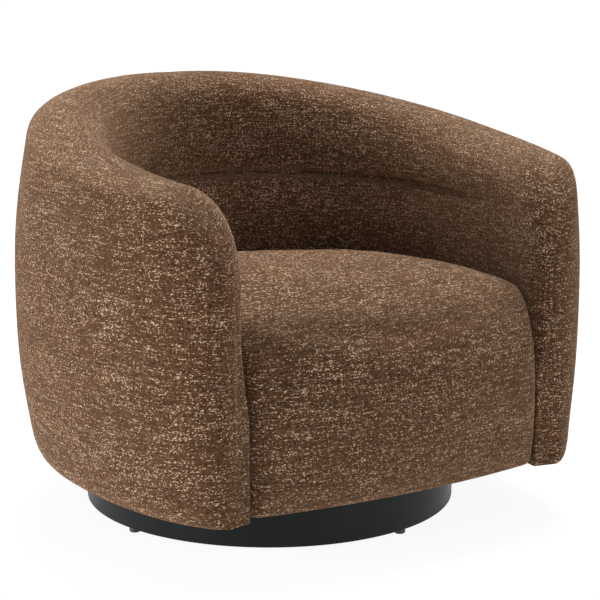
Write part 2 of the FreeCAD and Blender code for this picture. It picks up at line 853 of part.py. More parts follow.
ROLLER_COUNT = 6
ROLLER_RADIUS = f"(({UPPER_FACE} - {LOWER_FACE}) / 2 - roller_gap)"
rollers = []
for place in range(ROLLER_COUNT):
    turn = 360 / ROLLER_COUNT * place
    start = "(race_radius - roller_length / 2)"
    roller = solid("Cylinder", (f"{start} * cos({turn})", f"{start} * sin({turn})", RACE_LEVEL),
                   Radius=ROLLER_RADIUS, Height="roller_length")
    roller.Placement.Rotation = FreeCAD.Rotation(V(0, 0, 1), V(math.cos(math.radians(turn)),
                                                             math.sin(math.radians(turn)), 0))
    rollers.append(roller)
keep("bearing_rollers", group("Compound", rollers))

cage = body("roller_cage")
cage_sketch = sketch_on(cage, "XY_Plane", f"{RACE_LEVEL} - cage_thickness / 2")
circle(cage_sketch, "0", "0", "race_radius + roller_length / 2 + cage_margin")
circle(cage_sketch, "0", "0", "race_radius - roller_length / 2 - cage_margin")
feature_on(cage, "Pad", cage_sketch, Length="cage_thickness")
window_sketch = sketch_on(cage, "XY_Plane", f"{RACE_LEVEL} + cage_thickness / 2")
window_half = f"({ROLLER_RADIUS} + roller_gap)"
rectangle(window_sketch, "race_radius - roller_length / 2 - roller_gap", f"-{window_half}",
          "race_radius + roller_length / 2 + roller_gap", window_half)
window = through(cage, window_sketch)
windows = cage.newObject("PartDesign::PolarPattern", "windows")
windows.Originals = [window]
windows.Axis = (window_sketch, ["N_Axis"])
windows.Angle = 360
windows.Occurrences = ROLLER_COUNT
cage.Tip = windows


def screws(label, face, toward, bite):
    """Four hexagon-headed screws through a plate. toward is 1 where they point up."""
    made = []
    for x, y in FOUR_CORNERS:
        place = (f"{x} * screw_place", f"{y} * screw_place")
        head_low = f"{face} - screw_head_height" if toward > 0 else face
        rod_low = face if toward > 0 else f"{face} - plate_thickness - {bite}"
        head = solid("Prism", (*place, head_low),
                     Circumradius="screw_head_radius", Height="screw_head_height")
        rod = solid("Cylinder", (*place, rod_low), Radius="screw_radius", Height=f"plate_thickness + {bite}")
        made.append(group("MultiFuse", [head, rod]))
    keep(label, group("Compound", made))


screws("lower_plate_screws", LOWER_FACE, -1, "ply")
screws("upper_plate_screws", UPPER_FACE, 1, "ply")

board = body("swivel_board")
board_sketch = sketch_on(board, "XY_Plane", SHELL_BOTTOM)
rectangle(board_sketch, "-board_size / 2", "-board_size / 2", "board_size / 2", "board_size / 2")
board_slab = feature_on(board, "Pad", board_sketch, Length="ply")
dressed(board, "Chamfer", board_slab, is_upright, "Size", "board_corner")
board_holes = sketch_on(board, "XY_Plane", f"{SHELL_BOTTOM} + ply")
circle(board_holes, "0", "0", "board_bore")
for x, y in FOUR_CORNERS:
    circle(board_holes, f"{x} * screw_place", f"{y} * screw_place", "screw_radius + thread_gap")
through(board, board_holes)

INNER_BLOCK = "((swivel_rail_place - swivel_rail_width / 2) * 0.7)"
RAIL_OUTER = "(swivel_rail_place + swivel_rail_width / 2)"
NOSE_INNER = "(half_width - shell_depth - front_narrowing)"
OUTER_BLOCK = f"(({RAIL_OUTER} + {NOSE_INNER}) / 2)"
BLOCK_PLACES = (f"-{OUTER_BLOCK}", f"-{INNER_BLOCK}", INNER_BLOCK, OUTER_BLOCK)
REST_Y = "(arm_reach + seat_proud - apron_thickness - soft_gap - ply)"
blocks = []
for place in BLOCK_PLACES:
    wedge = solid("Wedge", (f"{place} - ply / 2", f"-{REST_Y}", f"{SHELL_BOTTOM} + ply"),
                  Xmax="ply", Ymax="block_leg", Zmax="block_leg", X2max="ply")
    for name in ("Xmin", "Ymin", "Zmin", "X2min", "Z2min", "Z2max"):
        setattr(wedge, name, 0)
    blocks.append(wedge)
keep("corner_blocks", group("Compound", blocks))

doc.recompute()
failed = [made.Name for made in doc.Objects if "Invalid" in made.State or "Error" in made.State]
broken = [label for label, made in parts.items() if made.Shape.isNull() or not made.Shape.isValid()]
if failed or broken:
    raise SystemExit(f"not built: features {failed}, parts {broken}")

os.makedirs("parts", exist_ok=True)
for label, made in parts.items():
    made.Shape.exportStep(f"parts/{label}.step")
    print(label, len(made.Shape.Solids), "solids,", round(made.Shape.Volume / 1000, 1), "cc")
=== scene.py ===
import functools
import math

import bpy
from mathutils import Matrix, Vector


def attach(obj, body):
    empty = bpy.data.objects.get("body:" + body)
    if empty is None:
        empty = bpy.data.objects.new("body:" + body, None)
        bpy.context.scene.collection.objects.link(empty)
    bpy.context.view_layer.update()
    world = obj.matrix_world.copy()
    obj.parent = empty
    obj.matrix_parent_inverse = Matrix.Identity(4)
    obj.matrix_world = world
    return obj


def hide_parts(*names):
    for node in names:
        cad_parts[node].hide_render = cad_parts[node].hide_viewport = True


# The dressed barrel swivel chair. Shapes are worked out in millimetres and stored in metres.

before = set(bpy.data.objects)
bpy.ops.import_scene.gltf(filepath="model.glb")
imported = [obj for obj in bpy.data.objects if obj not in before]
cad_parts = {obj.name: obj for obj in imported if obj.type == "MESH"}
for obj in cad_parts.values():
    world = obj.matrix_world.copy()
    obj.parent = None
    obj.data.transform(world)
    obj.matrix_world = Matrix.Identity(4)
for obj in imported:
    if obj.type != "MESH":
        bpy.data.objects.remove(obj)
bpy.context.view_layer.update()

MM = 0.001

# The shell's plan, at its widest height
HALF_WIDTH = 440
BACK_REACH = 413
WIDEST_PLACE = -72
ARM_REACH = 403
ARM_CLOSING = 870
BACK_AXIS = BACK_REACH - WIDEST_PLACE

# The shell's upright profile
BOTTOM = 98
WIDEST_HEIGHT = 402
BOTTOM_TUCK = 18
BARREL_POWER = 3.3
CORNER_WIDTH = 25
CORNER_HEIGHT = 64
TOP_LEAN_BACK = 33
TOP_LEAN_FRONT = 13
RIM_BACK = 691
RIM_FRONT = 579
RIM_CROWN = 0.25
RIM_DIP = 0.97
DEPTH = 148
ROLL_WIDTH = 74
ROLL_OUTER_DROP = 41
ROLL_ROUND = 0.64
ROLL_INNER_DROP = 52
CREASE_HEIGHT = 511
CREASE_DEPTH = 16
CREASE_HALF = 7
CREASE_SINK = 8
ROLL_SWELL = 10
PAD_SWELL = 15
SWELL_LEAST = 0.2

# Where the crease and the swell start and how long they take to grow, as shares of the half length
CREASE_START = 0.17
CREASE_RUN = 0.12
CREASE_SINK_RUN = 0.6
SWELL_START = 0.2
SWELL_RUN = 0.35

# The inside's levels and the thickness of the padding
SEAT_SHOULDER = 366
DECK_TOP = 292
COVER_WALL = 12
PAD_THICKNESS = 42
ROLL_FOAM = 38
SOFT_GAP = 0.4

# The rounded arm noses
NOSE_LENGTH = 140
NOSE_OUTER_LENGTH = 286
NOSE_OUTER_ROUND = 104
NOSE_INNER_LENGTH = 63
NOSE_INNER_ROUND = 26
NOSE_FOOT_ROUND = 4
NOSE_ROUND_LOW = 225
NOSE_ROUND_RISE = 150
NOSE_DROP = 140
NOSE_DROP_LENGTH = 104
TIP_MARGIN = 9
TIP_SHARES = (0.8, 0.6)

# The seat block
SEAT_FRONT = 413
SEAT_FRONT_HALF = 242
SEAT_FRONT_BOW = 20
SEAT_CORNER = 54
SEAT_CROWN = 405
SEAT_SIDE_GAP = 1.2
SEAT_FRONT_RISE = 12
SEAT_BACK_FALL = 15
RAKE_START = -200
RAKE_RUN = 420
RAKE_LOW = 345
RAKE_RISE = 45
SEAT_FOOT_TUCK = 20
APRON_THICKNESS = 63.4
BLOCK_LOW = 295
BLOCK_LAP = 6

# How many steps there are along the noses, the back, and the seat's front and sides
NOSE_STEPS = 18
BACK_STEPS = 62
FRONT_RUNS = 48
FRONT_CORNER_RUNS = 12
SIDE_RUNS = 44


def smooth(share):
    """0 to 1 with level ends."""
    share = min(1.0, max(0.0, share))
    return share * share * (3 - 2 * share)


def quarter(share):
    """How far a quarter round has fallen at a share of its length, 1 at the tip."""
    share = min(1.0, max(0.0, share))
    return 1 - math.sqrt(1 - share * share)


# The plan: two half ellipses that share the widest line, walked by length from the arm's tip


def plan_point(turn):
    """A point of the plan's left half and its inward direction, from the turn about the widest line."""
    reach = BACK_AXIS if turn > 0 else ARM_CLOSING
    point = Vector((-HALF_WIDTH * math.cos(turn), WIDEST_PLACE + reach * math.sin(turn), 0))
    inward = Vector((reach * math.cos(turn), -HALF_WIDTH * math.sin(turn), 0))
    return point, inward.normalized()


TIP_TURN = -math.asin((ARM_REACH + WIDEST_PLACE) / ARM_CLOSING)
WALK_STEPS = 1200
walk = [(0.0, TIP_TURN)]
for step in range(1, WALK_STEPS + 1):
    turn = TIP_TURN + (math.pi / 2 - TIP_TURN) * step / WALK_STEPS
    stride = (plan_point(turn)[0] - plan_point(walk[-1][1])[0]).length
    walk.append((walk[-1][0] + stride, turn))
HALF_LENGTH = walk[-1][0]


def turn_at(length):
    """The turn about the widest line at a length from the arm's tip."""
    low, high = 0, WALK_STEPS
    while high - low > 1:
        middle = (low + high) // 2
        if walk[middle][0] <= length:
            low = middle
        else:
            high = middle
    share = (length - walk[low][0]) / (walk[high][0] - walk[low][0])
    return walk[low][1] + min(1.0, share) * (walk[high][1] - walk[low][1])


def spot(length, inset, z=0.0, side=-1):
    """A point of the shell in millimetres: length from the arm's tip, inset, height and side, -1 left."""
    point, inward = plan_point(turn_at(length))
    point = point + inward * inset
    return Vector((-side * point.x, point.y, z))


def length_where(inset, y):
    """The length from the tip at which the line at this inset passes a given y."""
    low, high = 0.0, HALF_LENGTH
    for _ in range(40):
        middle = (low + high) / 2
        if spot(middle, inset).y < y:
            low = middle
        else:
            high = middle
    return (low + high) / 2


# The upright profile at a length from the tip


def rim_height(length):
    """The rim falls from the back to the arms along a curve, and drops steeply at the nose."""
    share = length / HALF_LENGTH
    rise = share * (1 + (1 - share) * (RIM_CROWN - RIM_DIP * (1 - 2 * share)))
    level = RIM_FRONT + (RIM_BACK - RIM_FRONT) * rise
    return level - NOSE_DROP * quarter(1 - length / NOSE_DROP_LENGTH)


def outer_inset(length):
    """The outside of an arm, which closes in a long round towards its tip."""
    return NOSE_OUTER_ROUND * quarter(1 - length / NOSE_OUTER_LENGTH)


def inner_inset(length, z=RIM_BACK):
    """The inside of an arm, which is rounder at the top of its nose than at the foot."""
    share = smooth((z - NOSE_ROUND_LOW) / NOSE_ROUND_RISE)
    rounding = NOSE_FOOT_ROUND + (NOSE_INNER_ROUND - NOSE_FOOT_ROUND) * share
    return DEPTH - rounding * quarter(1 - length / NOSE_INNER_LENGTH)


def top_lean(length):
    """How far the outside leans in at the roll."""
    return TOP_LEAN_FRONT + (TOP_LEAN_BACK - TOP_LEAN_FRONT) * length / HALF_LENGTH


def widest_level(length):
    """The height of the widest line, which sinks with the rim at a nose."""
    fall = NOSE_DROP * quarter(1 - length / NOSE_DROP_LENGTH)
    rise = rim_height(length) - ROLL_OUTER_DROP - BOTTOM
    return BOTTOM + (WIDEST_HEIGHT - BOTTOM) * rise / (rise + fall)


def barrel_inset(z, length):
    """How far the outside leans in at a height: a full round below the widest line and a slight one above."""
    level = widest_level(length)
    if z < level:
        return BOTTOM_TUCK * min(1.0, (level - z) / (level - BOTTOM - CORNER_HEIGHT)) ** BARREL_POWER
    return top_lean(length) * ((z - level) / (rim_height(length) - ROLL_OUTER_DROP - level)) ** 2


def swell_share(length):
    """The swell of the back dies out along the arms."""
    return smooth((length / HALF_LENGTH - SWELL_START) / SWELL_RUN)


def crease_share(length):
    """The crease under the roll runs further forward than the swell, and then fades."""
    return smooth((length / HALF_LENGTH - CREASE_START) / CREASE_RUN)


def crease_level(length):
    """The crease sinks a little along the arms."""
    return CREASE_HEIGHT - CREASE_SINK * (1 - smooth(length / HALF_LENGTH / CREASE_SINK_RUN))


def swell(amount, length, share):
    """How far the inside stands out between two heights, at a share of the way."""
    fullness = SWELL_LEAST + (1 - SWELL_LEAST) * swell_share(length)
    return amount * fullness * crease_share(length) * 4 * share * (1 - share)


def inside_face(z, length, lip):
    """The inset of the inside at a height below the roll's lip."""
    inset = inner_inset(length, z)
    crease = crease_level(length)
    if z > crease:
        share = (z - crease) / max(1.0, lip - crease)
        inset += swell(ROLL_SWELL, length, share)
    elif z > SEAT_SHOULDER:
        share = (z - SEAT_SHOULDER) / (crease - SEAT_SHOULDER)
        inset += swell(PAD_SWELL, length, share)
    away = (z - crease) / CREASE_HALF
    return inset - CREASE_DEPTH * crease_share(length) * math.exp(-away * away)


CORNER_RUNS = 6
BARREL_RUNS = 16
ROLL_RUNS = 12
CREASE_ROWS = [42, 32, 25, 19, 14, 10, 6, 3, 0, -3, -6, -10, -14, -19, -25, -32, -42]
PAD_ROWS = 7
SEAT_ROWS = 10
INSIDE_ROWS = len(CREASE_ROWS) + PAD_ROWS + SEAT_ROWS
LEAST_ROW_DROP = 0.4
GATHER_BEFORE = 40
GATHER_RUN = 60


def outside_line(length):
    """The outside from the foot over the roll to its lip, as (inset, z) points."""
    inset = outer_inset(length)
    rim = rim_height(length)
    inner = inner_inset(length)
    share = (inner - inset) / DEPTH
    corner_width = CORNER_WIDTH * share
    corner_height = CORNER_HEIGHT * share
    tuck = BOTTOM_TUCK * share
    lean = inset + top_lean(length) * share
    crest = lean + ROLL_WIDTH * share
    shoulder = rim - ROLL_OUTER_DROP
    line = []
    for run in range(CORNER_RUNS):
        turn = math.pi / 2 * run / CORNER_RUNS
        line.append((inset + tuck + corner_width * (1 - math.sin(turn)),
                     BOTTOM + corner_height * (1 - math.cos(turn))))
    for run in range(BARREL_RUNS):
        z = BOTTOM + corner_height + (shoulder - BOTTOM - corner_height) * run / BARREL_RUNS
        line.append((inset + share * barrel_inset(z, length), z))
    for run in range(ROLL_RUNS):
        turn = math.pi / 2 * run / ROLL_RUNS
        line.append((crest - (crest - lean) * math.cos(turn) ** ROLL_ROUND,
                     shoulder + ROLL_OUTER_DROP * math.sin(turn) ** ROLL_ROUND))
    for run in range(ROLL_RUNS):
        turn = math.pi / 2 * run / ROLL_RUNS
        line.append((crest + (inner - crest) * math.sin(turn), rim - ROLL_INNER_DROP * (1 - math.cos(turn))))
    return line


def softened(line, rounds):
    """The line with its kinks eased, its two ends held."""
    for _ in range(rounds):
        line = [line[0]] + [
            ((before[0] + 2 * here[0] + after[0]) / 4, (before[1] + 2 * here[1] + after[1]) / 4)
            for before, here, after in zip(line, line[1:], line[2:])] + [line[-1]]
    return line


def inside_line(length, foot):
    """The inside from the roll's lip down to the foot, with its rows close together at the crease."""
    lip = rim_height(length) - ROLL_INNER_DROP
    crease = crease_level(length)
    near_crease = [crease + row for row in CREASE_ROWS]
    low = near_crease[-1]
    pad = [low + (SEAT_SHOULDER - low) * row / PAD_ROWS for row in range(1, PAD_ROWS + 1)]
    seat = [SEAT_SHOULDER + (foot - SEAT_SHOULDER) * row / SEAT_ROWS for row in range(1, SEAT_ROWS + 1)]
    gathered = near_crease + pad + seat
    even = [lip + (foot - lip) * row / (INSIDE_ROWS - 1) for row in range(INSIDE_ROWS)]
    share = smooth((length - NOSE_LENGTH + GATHER_BEFORE) / GATHER_RUN)
    heights = [min(lip - LEAST_ROW_DROP * row, a + (b - a) * share)
               for row, (a, b) in enumerate(zip(even, gathered))]
    return [(inside_face(z, length, lip), z) for z in heights]


# A solid nose has as many points under its foot as the hollow's line has
HOLLOW_POINTS = 6
KINK_ROUNDS = 3


def hollow_line(length):
    """The inner side of the cover and pads, round the hollow that the frame stands in."""
    inset = outer_inset(length)
    ceiling = rim_height(length) - ROLL_FOAM
    back = DEPTH - PAD_THICKNESS
    foot = inset + BOTTOM_TUCK
    inside = inset + COVER_WALL
    return [
        (back, DECK_TOP + SOFT_GAP),
        (back, ceiling),
        (inside + top_lean(length), ceiling),
        (inside, WIDEST_HEIGHT),
        (foot + COVER_WALL, BOTTOM + CORNER_HEIGHT),
        (foot + CORNER_WIDTH, BOTTOM + COVER_WALL),
    ]


def shell_ring(length, solid):
    """One closed section. A solid one is a nose's, which runs down to the foot on both sides."""
    outside = softened(outside_line(length), KINK_ROUNDS)
    inside = inside_line(length, BOTTOM if solid else DECK_TOP + SOFT_GAP)
    if not solid:
        return outside + inside + hollow_line(length)
    last, first = inside[-1], outside[0]
    under = [(last[0] + (first[0] - last[0]) * place / (HOLLOW_POINTS + 1), BOTTOM)
             for place in range(1, HOLLOW_POINTS + 1)]
    return outside + inside + under


def mesh_object(name, points, faces, weave):
    """A mesh from points in millimetres. weave holds each point's place in the cloth, in metres."""
    mesh = bpy.data.meshes.new(name)
    mesh.from_pydata([tuple(point * MM) for point in points], [], faces)
    layer = mesh.attributes.new("weave", "FLOAT_VECTOR", "POINT")
    layer.data.foreach_set("vector", [value for place in weave for value in place])
    mesh.validate()
    mesh.shade_smooth()
    made = bpy.data.objects.new(name, mesh)
    bpy.context.scene.collection.objects.link(made)
    return made


def plain_weave(points):
    """For a piece whose place in the cloth doesn't matter, or is set later."""
    return [tuple(point * MM) for point in points]


# How much further up the cloth a point on the roll lies, for each millimetre from its edges
ROLL_WEAVE = 0.6


def shell():
    """The whole upholstered shell as one skin: arms, back, roll, crease and lower pad."""
    nose_lengths = [NOSE_LENGTH * (1 - math.cos(math.pi / 2 * step / NOSE_STEPS))
                    for step in range(NOSE_STEPS + 1)]
    start = NOSE_LENGTH + 1
    back_lengths = [start + (HALF_LENGTH - start) * step / BACK_STEPS for step in range(BACK_STEPS + 1)]
    half = [(length, True) for length in nose_lengths] + [(length, False) for length in back_lengths]
    path = [(-1, *station) for station in half] + [(1, *station) for station in reversed(half[:-1])]
    points, weave, faces = [], [], []
    travelled = 0.0
    before = None
    for side, length, solid in path:
        middle = spot(length, DEPTH / 2, 0, side)
        travelled += (middle - before).length if before else 0.0
        before = middle
        base, inward = plan_point(turn_at(length))
        outer, inner = outer_inset(length), inner_inset(length)
        for inset, z in shell_ring(length, solid):
            point = base + inward * inset
            points.append(Vector((-side * point.x, point.y, z)))
            over_roll = max(0.0, min(inset - outer, inner - inset))
            weave.append((travelled * MM, inset * MM, (z + ROLL_WEAVE * over_roll) * MM))
    around = len(points) // len(path)
    for station in range(len(path) - 1):
        for place in range(around):
            a = station * around + place
            b = station * around + (place + 1) % around
            faces.append((a, b, b + around, a + around))
    for first, flip in ((0, True), ((len(path) - 1) * around, False)):
        close_tip(points, weave, faces, list(range(first, first + around)), flip)
    return mesh_object("shell_upholstery", points, faces, weave)


def close_tip(points, weave, faces, ring, flip):
    """Closes a nose: its end ring shrinks in its own plane towards a standing line and is then filled."""
    start = ring
    middle = sum((points[place] for place in start), Vector()) / len(start)
    middle_inset = sum(weave[place][1] for place in start) / len(start)
    low = min(points[place].z for place in start) + TIP_MARGIN
    high = max(points[place].z for place in start) - TIP_MARGIN
    for share in TIP_SHARES:
        fresh = []
        for place in start:
            source = points[place]
            target = Vector((middle.x, middle.y, min(high, max(low, source.z))))
            cloth = weave[place]
            target_cloth = (cloth[0], middle_inset, cloth[2] + (target.z - source.z) * MM)
            points.append(target + (source - target) * share)
            weave.append(tuple(there + (here - there) * share for here, there in zip(cloth, target_cloth)))
            fresh.append(len(points) - 1)
        for place in range(len(ring)):
            after = (place + 1) % len(ring)
            face = (ring[place], ring[after], fresh[after], fresh[place])
            faces.append(tuple(reversed(face)) if flip else face)
        ring = fresh
    faces.append(tuple(reversed(ring)) if flip else tuple(ring))


fabric_shell = shell()
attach(fabric_shell, "seat")
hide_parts("outer_cover", "inside_back_pad", "arm_front_pad_left", "arm_front_pad_right")


# The seat block


def arc_through(start, middle, end, runs):
    """Points of a round through three points, after its start."""
    ax, ay, bx, by, cx, cy = start.x, start.y, middle.x, middle.y, end.x, end.y
    twice = 2 * (ax * (by - cy) + bx * (cy - ay) + cx * (ay - by))
    a2, b2, c2 = ax * ax + ay * ay, bx * bx + by * by, cx * cx + cy * cy
    centre = Vector(((a2 * (by - cy) + b2 * (cy - ay) + c2 * (ay - by)) / twice,
                     (a2 * (cx - bx) + b2 * (ax - cx) + c2 * (bx - ax)) / twice, start.z))
    first = math.atan2(ay - centre.y, ax - centre.x)
    through = (math.atan2(by - centre.y, bx - centre.x) - first + math.pi) % (2 * math.pi) - math.pi
    last = (math.atan2(cy - centre.y, cx - centre.x) - first + math.pi) % (2 * math.pi) - math.pi
    if through * last < 0:
        last += math.copysign(2 * math.pi, through)
    radius = (start - centre).length
    return [centre + Vector((radius * math.cos(first + last * run / runs),
                             radius * math.sin(first + last * run / runs), 0)) for run in range(1, runs + 1)]


BEND_OUT = 0.8
BEND_BACK = 0.32


def front_edge(half, front, corner, z):
    """The bowed front from its middle to the right side, which a round corner meets."""
    bow = front + SEAT_FRONT_BOW
    left, middle, right = Vector((-half, bow, z)), Vector((0, front, z)), Vector((half, bow, z))
    bend = Vector((half + (corner.x - half) * BEND_OUT, bow + (corner.y - bow) * BEND_BACK, z))
    whole = arc_through(left, middle, right, FRONT_RUNS)
    side = Vector((corner.x, corner.y, z))
    return whole[FRONT_RUNS // 2 - 1:] + arc_through(right, bend, side, FRONT_CORNER_RUNS)


def seat_outline(z, side_inset, front_back):
    """One level of the seat block, from the middle of its front round to the middle of its back and home."""
    inset = DEPTH + SEAT_SIDE_GAP + side_inset
    front = front_back - SEAT_FRONT
    start = length_where(inset, front + SEAT_CORNER)
    right = front_edge(SEAT_FRONT_HALF - side_inset, front, spot(start, inset, z, 1), z)
    right += [spot(start + (HALF_LENGTH - start) * run / SIDE_RUNS, inset, z, 1)
              for run in range(1, SIDE_RUNS + 1)]
    return right + [Vector((-point.x, point.y, z)) for point in reversed(right[1:-1])]


# Each level's height, its inset at the sides and how far its front lies back
BLOCK_LEVELS = (
    (BLOCK_LOW, 0, 9),
    (312, 0, 14),
    (330, 0, 21),
    (345, 0.5, 27),
    (359, 2, 34),
    (369, 5, 41),
    (377.5, 9, 50),
    (383.5, 16, 60),
    (388.5, 26, 73),
    (393, 42, 91),
    (397, 64, 114),
)
# Over the last level, each ring's share of its width and its height
CROWN_SHARES = ((0.82, SEAT_CROWN - 4.5), (0.62, SEAT_CROWN - 2), (0.4, SEAT_CROWN - 0.5), (0.18, SEAT_CROWN))
# Up the front border, the share of its height and of the foot's tuck
APRON_LEVELS = ((0, 1), (0.03, 0.7), (0.08, 0.48), (0.16, 0.26), (0.26, 0.12), (0.38, 0.03), (0.55, 0),
                (0.7, 0.06), (0.85, 0.2), (1, 0.45))


def rings_mesh(rings):
    """A closed body through rings of as many points each, with flat ends."""
    points = [point for ring in rings for point in ring]
    around = len(rings[0])
    faces = []
    for level in range(len(rings) - 1):
        for place in range(around):
            a = level * around + place
            b = level * around + (place + 1) % around
            faces.append((a, b, b + around, a + around))
    faces.append(tuple(reversed(range(around))))
    faces.append(tuple(range(len(points) - around, len(points))))
    return points, faces


def add_rings(points, faces, rings):
    """Adds the body through these rings to a mesh's points and faces."""
    more_points, more_faces = rings_mesh(rings)
    first = len(points)
    points += more_points
    faces += [tuple(corner + first for corner in face) for face in more_faces]


def raked(point):
    """How far the top stands above or below its level: it falls from the front to the back."""
    fall = smooth((point.y - RAKE_START) / RAKE_RUN)
    rise = SEAT_FRONT_RISE - (SEAT_FRONT_RISE + SEAT_BACK_FALL) * fall
    return rise * smooth((point.z - RAKE_LOW) / RAKE_RISE)


def seat_block():
    """The block between the arms, and the front border that runs down to the shell's foot."""
    rings = [seat_outline(*level) for level in BLOCK_LEVELS]
    top = rings[-1]
    centre = sum(top, Vector()) / len(top)
    for share, z in CROWN_SHARES:
        middle = Vector((centre.x, centre.y, z))
        rings.append([middle + Vector((point.x - centre.x, point.y - centre.y, 0)) * share for point in top])
    points, faces = rings_mesh(rings)
    for point in points:
        point.z += raked(point)
    apron_back = APRON_THICKNESS - SEAT_FRONT
    border = []
    for rise, share in APRON_LEVELS:
        z = BOTTOM + rise * (BLOCK_LOW + BLOCK_LAP - BOTTOM)
        corner = spot(length_where(DEPTH + SEAT_SIDE_GAP, apron_back), DEPTH + SEAT_SIDE_GAP, z, 1)
        right = front_edge(SEAT_FRONT_HALF, share * SEAT_FOOT_TUCK - SEAT_FRONT, corner, z)
        border.append(right + [Vector((-point.x, point.y, z)) for point in reversed(right[1:])])
    add_rings(points, faces, border)
    return mesh_object("seat_upholstery", points, faces, plain_weave(points))


def apply_modifiers(piece):
    """The piece's mesh with its modifiers worked into it."""
    graph = bpy.context.evaluated_depsgraph_get()
    mesh = bpy.data.meshes.new_from_object(piece.evaluated_get(graph), depsgraph=graph)
    piece.modifiers.clear()
    piece.data = mesh


HELD_RISE = 6
HELD_SIDE = 200


def held_under(piece):
    """The seat is glued down underneath, at the back and along the arms; its top and front are free."""
    held = piece.vertex_groups.new(name="held")
    piece.data.update()
    for vertex in piece.data.vertices:
        x, _, z = vertex.co / MM
        facing = vertex.normal
        under = z < BOTTOM + HELD_RISE or facing.z < -0.5 or (facing.y > 0.5 and z < SEAT_SHOULDER)
        beside = abs(facing.x) > 0.75 and abs(x) > HELD_SIDE
        if under or beside:
            held.add([vertex.index], 1.0, "REPLACE")
    return held.name


def puffed(piece, start_in, pressure, cap, frames=16):
    """Blows the piece up from a slightly smaller start, as cloth, and keeps each point within a cap."""
    for vertex in piece.data.vertices:
        vertex.co -= vertex.normal * start_in * MM
    before = [vertex.co.copy() for vertex in piece.data.vertices]
    cloth = piece.modifiers.new("cloth", "CLOTH")
    settings = cloth.settings
    settings.quality = 4
    settings.mass = 0.3
    settings.tension_stiffness = 20
    settings.compression_stiffness = 12
    settings.shear_stiffness = 10
    settings.bending_stiffness = 1.5
    settings.use_pressure = True
    settings.uniform_pressure_force = pressure
    settings.effector_weights.gravity = 0
    settings.vertex_group_mass = held_under(piece)
    cloth.point_cache.frame_start = 1
    cloth.point_cache.frame_end = frames
    for step in range(1, frames + 1):
        bpy.context.scene.frame_set(step)
    apply_modifiers(piece)
    bpy.context.scene.frame_set(1)
    for vertex, start in zip(piece.data.vertices, before):
        moved = vertex.co - start
        if moved.length > cap * MM:
            vertex.co = start + moved * (cap * MM / moved.length)


ARM_CHECK_HALF = 150
ARM_CHECK_BACK = 60
ROOM_STEP = 4


@functools.cache
def room_at(y, z):
    """Half the width between the arms at whole millimetres."""
    length = length_where(DEPTH, y)
    return abs(spot(length, inner_inset(length, z) + SEAT_SIDE_GAP).x)


def clear_of_arms(mesh):
    """Holds the seat's sides off the inside of the shell."""
    tip = spot(0, DEPTH).y
    for vertex in mesh.vertices:
        x, y, z = vertex.co / MM
        if abs(x) < ARM_CHECK_HALF or not tip <= y <= ARM_CHECK_BACK:
            continue
        limit = room_at(round(y), ROOM_STEP * round(z / ROOM_STEP))
        if abs(x) > limit:
            vertex.co.x = math.copysign(limit, x) * MM


SEAT_ROLL_START = 335
SEAT_ROLL_RISE = 60
SEAT_TOP_STRETCH = 0.45


def place_in_cloth(mesh):
    """The seat's cloth climbs the front, rolls over its edge and runs back along the top."""
    layer = mesh.attributes.get("weave") or mesh.attributes.new("weave", "FLOAT_VECTOR", "POINT")
    numbers = []
    for vertex in mesh.vertices:
        x, y, z = vertex.co
        over = smooth((z / MM - SEAT_ROLL_START) / SEAT_ROLL_RISE)
        back = y + SEAT_FRONT * MM
        numbers += [x, back * (1 - over), z + over * SEAT_TOP_STRETCH * back]
    layer.data.foreach_set("vector", numbers)


SEAT_VOXEL = 6

fabric_seat = seat_block()
remesh = fabric_seat.modifiers.new("remesh", "REMESH")
remesh.mode = "VOXEL"
remesh.voxel_size = SEAT_VOXEL * MM
relax = fabric_seat.modifiers.new("relax", "SMOOTH")
relax.factor = 0.5
relax.iterations = 8
apply_modifiers(fabric_seat)
puffed(fabric_seat, start_in=2.5, pressure=4, cap=4)
finer = fabric_seat.modifiers.new("finer", "SUBSURF")
finer.levels = 1
finer.render_levels = 1
apply_modifiers(fabric_seat)
clear_of_arms(fabric_seat.data)
place_in_cloth(fabric_seat.data)
fabric_seat.data.shade_smooth()
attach(fabric_seat, "seat")
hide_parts("seat_cushion")


# The plinth, its glides, the bottom cloth and the webbing

PLINTH_RADIUS = 308
PLINTH_WALL = 22
PLINTH_TOP = 88
PLINTH_EDGE = 3
PLINTH_INNER_EDGE = 1
PLINTH_FOOT_EDGE = 1.5
PLINTH_WALL_RUNS = 8
GLIDE_RADIUS = 9
GLIDE_HEIGHT = 8
GLIDE_EDGE = 2.5
GLIDE_FLAT = 4.5
GLIDE_RIM = 0.5
GLIDE_RIM_DROP = 0.6
GLIDE_TURN = 12
GLIDE_SIDES = 40
FRAME_GAP = 1.4
CLOTH_LAP = 14
CLOTH_WINDOW = 102
CLOTH_SAG = 3
CLOTH_DROP = 0.4
CLOTH_THICKNESS = 0.6
CLOTH_STEP = 14
CLOTH_RINGS = 14
WEB_WIDTH = 62
WEB_THICKNESS = 1.5
WEB_WAVE = 0.35
WEB_WAVE_LENGTH = 112
WEB_STEP = 8
WEB_END_GAP = 6
LENGTHWISE_PLACES = (-180, -60, 60, 180)
CROSSWISE_PLACES = (-190, -85, 20, 125)


def turned_ring(name, section, turns=192):
    """A ring from a closed (radius, z) section."""
    points, faces = [], []
    count = len(section)
    for step in range(turns):
        turn = 2 * math.pi * step / turns
        points += [Vector((radius * math.cos(turn), radius * math.sin(turn), z)) for radius, z in section]
        after = (step + 1) % turns
        for place in range(count):
            following = (place + 1) % count
            faces.append((step * count + place, after * count + place,
                          after * count + following, step * count + following))
    return mesh_object(name, points, faces, plain_weave(points))


